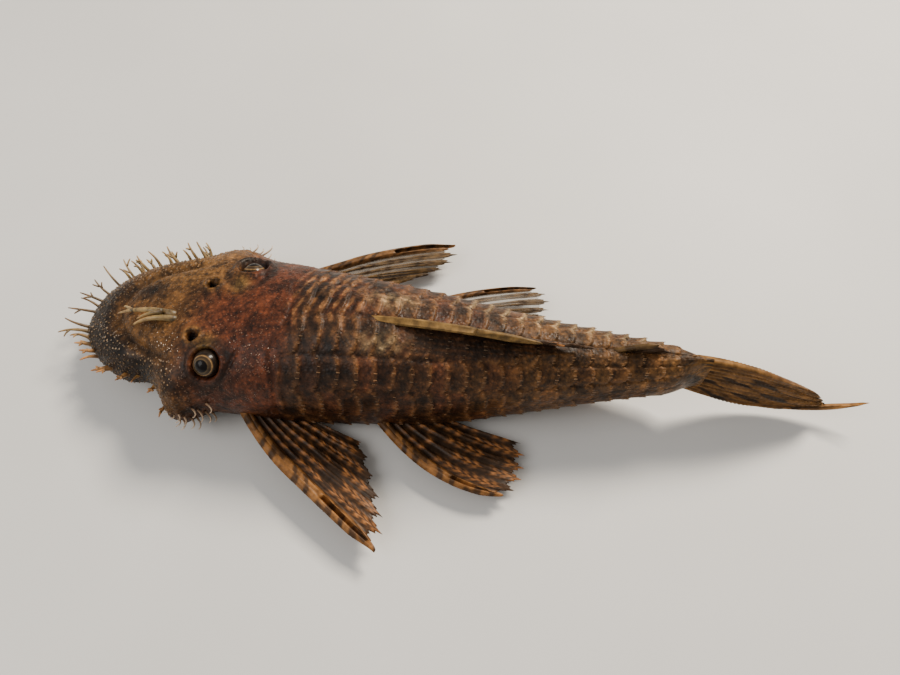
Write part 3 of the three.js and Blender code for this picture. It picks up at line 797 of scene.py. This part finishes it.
# root of the first ray, and how far the roots run back, in and down to the last one
finBases = {
    "pectoral": {"s": 30.6, "y": 12.6, "z": 4.8, "run": 7, "narrow": 1.2, "drop": 1.9},
    "pelvic": {"s": 50.4, "y": 8.8, "z": 3.4, "run": 4.6, "narrow": 1.6, "drop": 1.2},
}
tipHeights = {"pectoral": (3.5, 1.5), "pelvic": (2.9, 1.2)}  # the first tip, and the drop to the last


def pairedRays(name, bow):
    tips = pairedTips[name]
    kind = name.split("_")[0]
    base = finBases[kind]
    tipZ, tipDrop = tipHeights[kind]
    side = 1 if tips[0][1] > 0 else -1
    rays = []
    for n, (tipS, tipY) in enumerate(tips):
        t = n / (len(tips) - 1)
        rootY = side * (base["y"] - base["narrow"] * t)
        root = (base["s"] + base["run"] * t, rootY, base["z"] - base["drop"] * t)
        rays.append((root, (tipS, tipY, tipZ - tipDrop * t), (0, side * bow * (1 - t), 0)))
    return rays


nearLook = {"clear": 0.06, "spots": 0.8, "floor": 0.4, "spotPitch": 1.8}
farLook = {
    "clear": 0.5,
    "spots": 0.5,
    "floor": 0.4,
    "seed": 4,
    "base": (0.075, 0.045, 0.02),
    "spotTone": (0.03, 0.016, 0.009),
    "rayTone": (0.16, 0.09, 0.03),
    "spineTone": (0.17, 0.08, 0.028),
}
pairedLooks = {
    "pectoral_fin_left": {**nearLook, "spine": 2.3, "bow": 0.7},
    "pectoral_fin_right": {**farLook, "spine": 1.8, "bow": 1.8, "seed": 2, "clear": 0.4},
    "pelvic_fin_left": {**nearLook, "spine": 2.0, "bow": 3.2, "seed": 3},
    "pelvic_fin_right": {**farLook, "spine": 1.3, "bow": 1.8, "clear": 0.75},
}
for name, look in pairedLooks.items():
    finSheet(name, pairedRays(name, look["bow"]), look)
upright = {"waveAxis": 1, "clear": 0.1}
finSheet("dorsal_fin", dorsalRays, {
    **upright,
    "spine": 1.75,
    "ray": 0.9,
    "spots": 0.2,
    "spineTone": (0.17, 0.098, 0.03),
    "wave": 0.15,
    "bars": 0.35,
    "stripes": 0.4,
})
finSheet("adipose_fin", adiposeRays, {
    **upright,
    "spine": 1.2,
    "ray": 0.6,
    "wave": 0.05,
    "lines": 50,
    "spineTone": (0.1, 0.056, 0.02),
    "bars": 0.5,
    "spots": 0.0,
})
finSheet("anal_fin", analRays, {
    **upright,
    "spine": 1.1,
    "ray": 0.7,
    "wave": 0.05,
    "lines": 60,
    "floor": 0.4,
})
finSheet("caudal_fin", tailRays, {
    **upright,
    "spine": 1.5,
    "ray": 1.7,
    "rayTip": 0.6,
    "web": 0.8,
    "notch": 0.03,
    "wave": 0.2,
    "across": 12,
    "lines": 150,
    "base": (0.14, 0.062, 0.018),
    "rayTone": (0.27, 0.135, 0.038),
    "rayShow": 0.7,
    "spots": 0.0,
    "streaks": 0.9,
    "spineTone": (0.3, 0.14, 0.04),
    "barPitch": 4.2,
    "bars": 0.4,
})
print("fins")


# Eyes: a ball with a slight cornea, looking up and out
def eyeBall(name, side):
    centre, axis = eyeCentre(side), eyeAxis(side)
    turn = np.array(Vector((0, 0, 1)).rotation_difference(Vector(axis)).to_matrix())

    def shape(u, v):
        polar = v * np.pi
        radius = (eyeForm["radius"] + eyeForm["cornea"] * bump(polar, 0.62))[:, None]
        a = u * 2 * np.pi
        unit = np.stack([np.sin(polar) * np.cos(a), np.sin(polar) * np.sin(a), np.cos(polar)], -1)
        return centre + (unit * radius) @ turn.T

    ball = lattice(camel(name), 48, 64, shape, weld=0.002, attributes=lambda u, v: {"look": v})
    return finish(ball, eyeMaterial.material, "eye", name)


eyeMaterial = Shade("eyeWet", 0.3, {
    "Coat Weight": 0.12,
    "Coat Roughness": 0.06,
    "Specular IOR Level": 0.12,
})
ring = eyeMaterial.ramp(
    eyeMaterial.attribute("look"),
    (0.0, (0.004, 0.003, 0.003)),
    (0.135, (0.004, 0.003, 0.003)),
    (0.15, (0.09, 0.06, 0.03)),
    (0.19, (0.035, 0.022, 0.013)),
    (0.225, (0.05, 0.032, 0.018)),
    (0.238, (0.27, 0.165, 0.07)),
    (0.25, (0.15, 0.085, 0.035)),
    (0.275, (0.014, 0.009, 0.006)),
    (1.0, (0.02, 0.013, 0.008)),
)
eyeFleck = eyeMaterial.ramp(eyeMaterial.noise(1500, 4, 0.7), (0.35, 0.55), (0.65, 1.4))
eyeMaterial.colour(eyeMaterial.multiply(ring, eyeFleck))
eyeMaterial.relief(eyeMaterial.noise(900, 3), 0.08, 0.05)
eyeBall("eye_left", -1)
eyeBall("eye_right", 1)
print("eyes")


# Round tapered pieces along a bent line
def tube(name, points, radii, around):
    points = np.array(points, float)
    radii = np.array(radii, float)
    ahead = np.gradient(points, axis=0)
    ahead /= np.linalg.norm(ahead, axis=1)[:, None]
    side = np.cross(ahead[0], (0.31, 0.2, 0.93))
    sides = []
    for direction in ahead:
        side = side - direction * (side @ direction)
        side = side / np.linalg.norm(side)
        sides.append(side)
    sides = np.array(sides)
    ups = np.cross(ahead, sides)

    def shape(u, v):
        i = np.round(v * (len(points) - 1)).astype(int)
        a = u * 2 * np.pi
        return points[i] + radii[i][:, None] * (np.cos(a)[:, None] * sides[i] + np.sin(a)[:, None] * ups[i])

    return lattice(name, around, len(points) - 1, shape, weld=0.0005, attributes=lambda u, v: {"up": v})


def bentTube(name, root, tip, bend, radius, tipRadius, steps=10, around=8, lumps=0.0):
    t = np.linspace(0, 1, steps + 1)[:, None]
    points = np.array(root) + (np.array(tip) - np.array(root)) * t + np.array(bend) * 4 * t * (1 - t)
    radii = mix(radius, tipRadius, t[:, 0] ** 0.8) * (1 + lumps * np.sin(t[:, 0] * 19))
    radii[0] = 0.0002
    radii[-1] = 0.0002
    radii = np.insert(radii, -1, tipRadius * 0.8)
    points = np.insert(points, -1, points[-1] * 0.93 + points[-2] * 0.07, axis=0)
    return tube(name, points, radii, around)


bristleForm = {
    "count": 24,
    "spread": 1.36,
    "rise": 0.5,
    "near": 2.3,
    "far": 4.4,
    "radius": 0.44,
    "tip": 0.11,
    "sink": 0.7,
    "bow": 0.14,
    "lift": 0.1,
    "branch": 0.62,  # a branch's radius beside its bristle's
    "inner": 9,
    "innerLength": 2.6,
    "innerRadius": 0.36,
    # on the middle of the snout: from and to, each as s, turn and height, then radius and rise
    "fork": (
        ((19.2, 0.99, -0.8), (8.0, 0.983, 1.1), 0.8, 1.4),
        ((17.0, 0.989, 1.2), (12.2, 0.97, 0.9), 0.55, 0.4),
        ((19.4, 0.984, -0.8), (11.8, 0.957, 0.9), 0.72, 1.3),
        ((11.4, 0.985, 1.5), (8.6, 0.998, 0.8), 0.36, 0.3),
    ),
}


def toned(piece, tone):  # 0 is olive and dark, 1 is orange and pale
    layer = piece.data.attributes.new("tone", "FLOAT", "POINT")
    layer.data.foreach_set("value", np.full(len(piece.data.vertices), tone, np.float32))
    return piece


def bristle(root, direction, length, radius, branches, tone):
    direction = np.array(direction) / np.linalg.norm(direction)
    across = np.array((-direction[1], direction[0], 0.0))
    across /= np.linalg.norm(across) + 1e-9
    f = bristleForm
    bend = across * f["bow"] * length * rng.uniform(-1, 1) + np.array((0, 0, f["lift"] * length))
    sunk = np.array(root) - direction * f["sink"]
    tip = np.array(root) + direction * length
    parts = [bentTube("bristle", sunk, tip, bend, radius, f["tip"], lumps=0.05)]
    for k in range(branches):
        t = rng.uniform(0.35, 0.7)
        start = sunk + (tip - sunk) * t + bend * 4 * t * (1 - t)
        way = direction * (1 - t) * length * rng.uniform(0.35, 0.7)
        way = way + across * length * rng.uniform(0.16, 0.3) * (-1) ** k
        way[2] += rng.uniform(-0.1, 0.3)
        end = start + way
        parts.append(bentTube("bristle", start, end, bend * 0.3, radius * f["branch"], f["tip"], steps=6))
    return [toned(part, tone) for part in parts]


def snoutBristles():
    f = bristleForm
    parts = []
    for n in range(f["count"]):
        share = n / (f["count"] - 1)
        angle = f["spread"] * (2 * share - 1) + 0.05 * rng.uniform(-1, 1)
        s = max(bodyForm["snoutReach"] * (1 - math.cos(angle) ** (2 / bodyForm["snoutRound"])), 0.12)
        turn = 0.215 + 0.02 * rng.uniform(-1, 1)
        root = onSkin(s, turn if angle > 0 else 1 - turn)
        grown = float(ease(share, 0.2, 0.5) * (1 - 0.75 * ease(share, 0.6, 0.85)))
        length = mix(f["near"], f["far"], grown) * (1 + 0.25 * rng.uniform(-1, 1))
        tone = float(mix(1.0, 0.15, ease(share, 0.3, 0.5)) + 0.35 * ease(share, 0.62, 0.8))
        heading = angle * 0.9 + 0.2 * rng.uniform(-1, 1)
        rise = f["rise"] * (0.5 + 0.65 * share) + 0.15 * rng.uniform(-1, 1)
        direction = (-math.cos(heading), math.sin(heading), rise)
        radius = f["radius"] * rng.uniform(0.75, 1.15) * float(mix(1.2, 0.85, ease(share, 0.3, 0.55)))
        parts += bristle(root, direction, length, radius, int(rng.integers(0, 3)), tone)
    for n in range(f["inner"]):
        share = n / (f["inner"] - 1)
        root = onSkin(5 + 13.5 * share + 0.4 * rng.uniform(-1, 1), 0.165 + 0.02 * rng.uniform(-1, 1))
        direction = (-0.6, 0.3 + 0.3 * share, 0.62)
        length = f["innerLength"] + rng.uniform(-0.5, 0.8)
        parts += bristle(root, direction, length, f["innerRadius"], int(rng.integers(0, 2)), 0.55)
    for start, end, radius, rise in f["fork"]:
        root, tip = onSkin(*start), onSkin(*end)
        stem = bentTube("bristle", root, tip, (0, 0, rise), radius, 0.16, steps=16, around=12, lumps=0.03)
        parts.append(toned(stem, 0.5))
    return parts


bristleMaterial = Shade("bristleSoft", 0.48, {
    "Coat Weight": 0.08,
    "Coat Roughness": 0.3,
    "Subsurface Weight": 0.1,
    "Subsurface Scale": 0.5 * mm,
})
lengthTone = bristleMaterial.ramp(
    bristleMaterial.attribute("up"),
    (0.0, (0.06, 0.036, 0.014)),
    (0.45, (0.19, 0.12, 0.042)),
    (1.0, (0.27, 0.155, 0.055)),
)
bristleFleck = bristleMaterial.ramp(bristleMaterial.noise(650, 4, 0.7), (0.35, 0.35), (0.62, 1.25))
kindTone = bristleMaterial.ramp(
    bristleMaterial.attribute("tone"),
    (0.0, (0.55, 0.42, 0.4)),
    (0.5, (1.45, 1.5, 1.5)),
    (1.0, (1.9, 1.45, 1.2)),
)
lengthTone = bristleMaterial.multiply(lengthTone, kindTone)
bristleMaterial.colour(bristleMaterial.multiply(lengthTone, bristleFleck))
bristleMaterial.relief(bristleMaterial.noise(1400, 3), 0.4, 0.08)
bristles = joined("bristles", snoutBristles())
finish(bristles, bristleMaterial.material, "bristle")
print("bristles", len(bristles.data.polygons))

# Hooked odontodes on each cheek
odontodeForm = {"count": 13, "from": 19.4, "to": 25.4, "length": 2.3, "radius": 0.23, "sink": 0.6}


def cheekOdontodes(side):
    f = odontodeForm
    parts = []
    for n in range(f["count"]):
        share = n / (f["count"] - 1)
        turn = 0.225 + 0.018 * (n % 4)
        root = onSkin(mix(f["from"], f["to"], share), turn if side > 0 else 1 - turn, -f["sink"])
        length = (f["length"] + f["sink"]) * (0.7 + 0.4 * share) * rng.uniform(0.8, 1.1)
        direction = np.array((0.1 + 0.7 * share, side, 0.3 - 0.1 * (n % 4)))
        tip = root + direction / np.linalg.norm(direction) * length
        parts.append(bentTube("odontode", root, tip, (0.8, side * 0.2, 0.2), f["radius"], 0.06, around=6))
    return parts


hornMaterial = Shade("hornPale", 0.3, {"Coat Weight": 0.3, "Coat Roughness": 0.15})
hornTone = hornMaterial.ramp(
    hornMaterial.attribute("up"),
    (0.0, (0.28, 0.16, 0.09)),
    (0.5, (0.55, 0.4, 0.27)),
    (1.0, (0.7, 0.52, 0.36)),
)
hornFleck = hornMaterial.ramp(hornMaterial.noise(900, 3), (0.35, 0.75), (0.65, 1.15))
hornMaterial.colour(hornMaterial.multiply(hornTone, hornFleck))
hornMaterial.relief(hornMaterial.noise(1800, 3), 0.2, 0.05)
odontodes = joined("odontodes", cheekOdontodes(-1) + cheekOdontodes(1))
finish(odontodes, hornMaterial.material, "odontode")
print("odontodes")

# Fine odontodes: grains on the head and the snout's rim, and points along each plate's rear edge
grainForm = {
    "head": 3000,
    "tries": 9000,
    "apart": 0.72,
    "perPlate": 6,
    "lastS": 96,
    "nostrilClear": 1.15,
    "eyeClear": 3.3,
    "sides": 5,
    "batch": 60,  # small meshes, joined at the end, are much faster to fill
    "pale": (0.36, 0.22, 0.1, 1),
    "sink": 0.04,
    "rise": 0.4,
    "tip": 0.25,
    "bakeLength": 110,
    "bakeStep": 0.003,
}


# Each list of grains holds s, turn, radius, height and how far the grain lies back
def headGrains():
    grains = []
    for _ in range(grainForm["head"]):
        s = rng.uniform(4, 37.5)
        turn = rng.uniform(0.0, 0.27)
        turn = turn if rng.uniform() < 0.5 else 1 - turn
        grains.append((s, turn, 0.15 * rng.uniform(0.7, 1.3), 0.12, 0.1))
    return grains


def rimGrains():
    tries = grainForm["tries"]
    s = 21 * rng.uniform(0, 1, tries) ** 1.2 + 0.05
    turn = rng.uniform(0.01, 0.29, tries)
    turn = np.where(rng.uniform(0, 1, tries) < 0.5, turn, 1 - turn)
    y, z = outline(s, turn)
    wanted = rimShare(s, y) > 0.7 + 0.08 * rng.uniform(0, 1, tries)
    places = np.stack([s, y, z], -1)
    taken = []
    grains = []
    for n in np.flatnonzero(wanted):
        if taken and np.min(np.sum((places[taken] - places[n]) ** 2, 1)) < grainForm["apart"] ** 2:
            continue
        taken.append(n)
        grains.append((s[n], turn[n], 0.21 * rng.uniform(0.7, 1.2), 0.24, 0.1))
    return grains


def plateGrains():
    grains = []
    perPlate = grainForm["perPlate"]
    for column, row, side, k in np.ndindex(skinForm["columns"], skinForm["rows"], 2, perPlate):
        across = (k + 0.5 + 0.3 * rng.uniform(-1, 1)) / perPlate
        m = (row + across) / skinForm["rows"] * skinForm["plateTurn"]
        corner = abs(2 * across - 1) ** 3
        behind = (column + 0.84 + 0.05 * rng.uniform(-1, 1)) * platePitch
        s = skinForm["headEnd"] + behind - skinForm["scallop"] * corner + skinForm["slant"] * row
        middle = 1.35 if abs(across - 0.5) < 0.12 else 1.0
        if rng.uniform() < 0.8 and s < grainForm["lastS"]:
            grains.append((s, m if side == 0 else 1 - m, 0.1 * middle, 0.42 * middle, 0.9))
    return grains


def fineOdontodes():
    table = np.array(headGrains() + rimGrains() + plateGrains())
    roots = onSkin(table[:, 0], table[:, 1])
    clear = np.ones(len(table), bool)
    for side in (-1, 1):
        clear &= np.linalg.norm(roots - nostrilPlace(side), axis=1) > grainForm["nostrilClear"]
        clear &= np.linalg.norm(roots - eyeCentre(side), axis=1) > grainForm["eyeClear"]
    table = table[clear]
    s, turn = table[:, 0], table[:, 1]
    lift = skinRelief(s, turn) - grainForm["sink"]
    y, z = outline(s, turn, lift)
    y1, z1 = outline(s, turn, lift + 1)
    base = place(s, y, z)
    up = place(s, y1, z1) - base
    back = place(s + 0.5, y, z) - base
    rows = list(zip(table, base, up, back, skinPaint(s, turn)))
    batch = grainForm["batch"]
    parts = [grainBatch(rows[first:first + batch]) for first in range(0, len(rows), batch)]
    return joined("fineOdontodes", parts)


def grainBatch(rows):
    bm = bmesh.new()
    patch = bm.loops.layers.uv.new("OFBake")
    tint = bm.verts.layers.float_color.new("paint")
    pale = np.array(grainForm["pale"])
    for (s, turn, radius, height, lie), p, n, b, colour in rows:
        axis = Vector(n).normalized() * (1 - lie) + Vector(b).normalized() * lie
        turnTo = Vector((0, 0, 1)).rotation_difference(axis).to_matrix().to_4x4()
        at = Matrix.Translation((Vector(p) + axis.normalized() * height * grainForm["rise"]) * mm)
        made = bmesh.ops.create_cone(
            bm,
            cap_ends=True,
            segments=grainForm["sides"],
            radius1=radius * mm,
            radius2=radius * grainForm["tip"] * mm,
            depth=height * mm,
            matrix=at @ turnTo,
        )
        # points on the plates, large grains on the rim, then small ones on the head
        share = 0.2 if lie > 0.5 else 0.42 if radius * height > 0.03 else 0.1
        tone = mix(colour, pale, share)
        for k, vert in enumerate(made["verts"]):
            vert[tint] = tone
            for loop in vert.link_loops:
                loop[patch].uv = (s / grainForm["bakeLength"] + grainForm["bakeStep"] * (k % 2), turn)
    return bpy.data.objects.new("grains", meshFrom(bm, "grains"))


grainMaterial = Shade("grainPale", 0.35, {"Coat Weight": 0.3, "Coat Roughness": 0.2})
grainFleck = grainMaterial.ramp(grainMaterial.noise(500, 4), (0.35, 0.55), (0.65, 1.3))
grainMaterial.colour(grainMaterial.multiply(grainMaterial.attribute("paint", "Color"), grainFleck))
grains = fineOdontodes()
finish(grains, grainMaterial.material, "odontode")
print("fine odontodes", len(grains.data.polygons))

# The sucker mouth, with its papillae and two rows of fine teeth
mouthForm = {
    "s": 9.4,
    "radius": 6.7,
    "height": 2.6,
    "slitLength": 7.4,
    "slitWidth": 2.8,
    "depth": 1.3,
    "papilla": 0.11,
    "teeth": 26,
    "toothRow": 1.9,
}


def mouthShape(u, v):
    f = mouthForm
    share = np.array([0, 0.3, 0.42, 0.55, 0.7, 0.86, 0.98, 1.0, 0.93, 0.0])
    level = np.array([f["depth"], f["depth"], 0.35, 0.05, 0.0, 0.02, 0.5, 1.4, f["height"], f["height"]])
    at = v * (len(share) - 1)
    r = np.interp(at, np.arange(len(share)), share)
    z = np.interp(at, np.arange(len(share)), level)
    a = u * 2 * np.pi
    inside = 1 - ease(r, 0.3, 0.55)
    lengthwise = mix(1, f["slitWidth"] / (1.1 * f["radius"]), inside)
    sidewise = mix(1, f["slitLength"] / (1.1 * f["radius"]), inside)
    bumpy = ease(r, 0.36, 0.5) * (1 - ease(r, 0.9, 1.0)) * (at < 6.6)
    papillae = f["papilla"] * np.sin(r * 62) * np.sin(a * np.round(8 + 34 * r)) * bumpy
    z = np.maximum(z + papillae + f["papilla"] * (at < 6), 0.01)
    centre = place(f["s"], 0, 0).reshape(3)
    edge = 1 + 0.02 * np.sin(a * 23) * ease(r, 0.85, 1.0)
    x = centre[0] + np.cos(a) * r * f["radius"] * lengthwise * edge
    y = centre[1] + np.sin(a) * r * f["radius"] * sidewise * edge
    return np.stack([x, y, z], -1)


lipMaterial = Shade("lipSoft", 0.42, {
    "Coat Weight": 0.2,
    "Coat Roughness": 0.3,
    "Subsurface Weight": 0.1,
    "Subsurface Scale": 0.6 * mm,
})
lipFleck = lipMaterial.ramp(lipMaterial.noise(320, 4), (0.35, (0.3, 0.19, 0.12)), (0.65, (0.5, 0.37, 0.25)))
lipMaterial.colour(lipFleck)
lipMaterial.relief(lipMaterial.cells(1300), 0.6, 0.15)
lips = lattice("lips", 168, 90, mouthShape, weld=0.003)
finish(lips, lipMaterial.material, "lips", "mouth_disc")
toothRows = []
for jaw in (-1, 1):
    for n in range(mouthForm["teeth"]):
        y = mix(-mouthForm["toothRow"], mouthForm["toothRow"], n / (mouthForm["teeth"] - 1))
        root = place(mouthForm["s"], y, 0).reshape(3)
        root = root + (jaw * (0.75 - 0.07 * y * y), 0, mouthForm["depth"] + 0.2)
        tip = root + (-jaw * 0.35, 0, -1.0)
        toothRows.append(bentTube("tooth", root, tip, (jaw * 0.1, 0, 0), 0.06, 0.03, steps=4, around=5))
finish(joined("teeth", toothRows), hornMaterial.material, "odontode")
print("mouth")

# Floor and soft light, in metres and watts
studio = {
    "floor": 3.0,
    # place, target, size, power and colour of each light
    "key": ((0.2, 0.34, 0.4), (0.01, 0, 0), 0.16, 5.4, (1.0, 0.89, 0.74)),
    "fill": ((-0.35, -0.2, 0.4), (-0.02, 0, 0), 0.35, 1.7, (1.0, 0.97, 0.93)),
    "skyTone": (0.97, 0.93, 0.88, 1),
    "skyStrength": 0.42,
}
floorMaterial = Shade("floorPale", 0.55, {})
floorCloud = floorMaterial.noise(14, 3)
floorMaterial.colour(floorMaterial.ramp(floorCloud, (0.3, (0.62, 0.62, 0.61)), (0.7, (0.68, 0.68, 0.67))))
bm = bmesh.new()
bmesh.ops.create_grid(bm, x_segments=2, y_segments=2, size=studio["floor"] / 2)
floor = placed("floor", meshFrom(bm, "floor"))
floor.data.materials.append(floorMaterial.material)


def areaLight(name, at, target, size, power, colour):
    light = placed(name, bpy.data.lights.new(name, "AREA"))
    light.data.size = size
    light.data.energy = power
    light.data.color = colour
    light.location = at
    light.rotation_euler = (Vector(target) - Vector(at)).to_track_quat("-Z", "Y").to_euler()


for name in ("key", "fill"):
    areaLight(name, *studio[name])
world = bpy.data.worlds.new("studio")
bpy.context.scene.world = world
world.use_nodes = True
sky = world.node_tree.nodes["Background"]
sky.inputs["Color"].default_value = studio["skyTone"]
sky.inputs["Strength"].default_value = studio["skyStrength"]
print("stage")
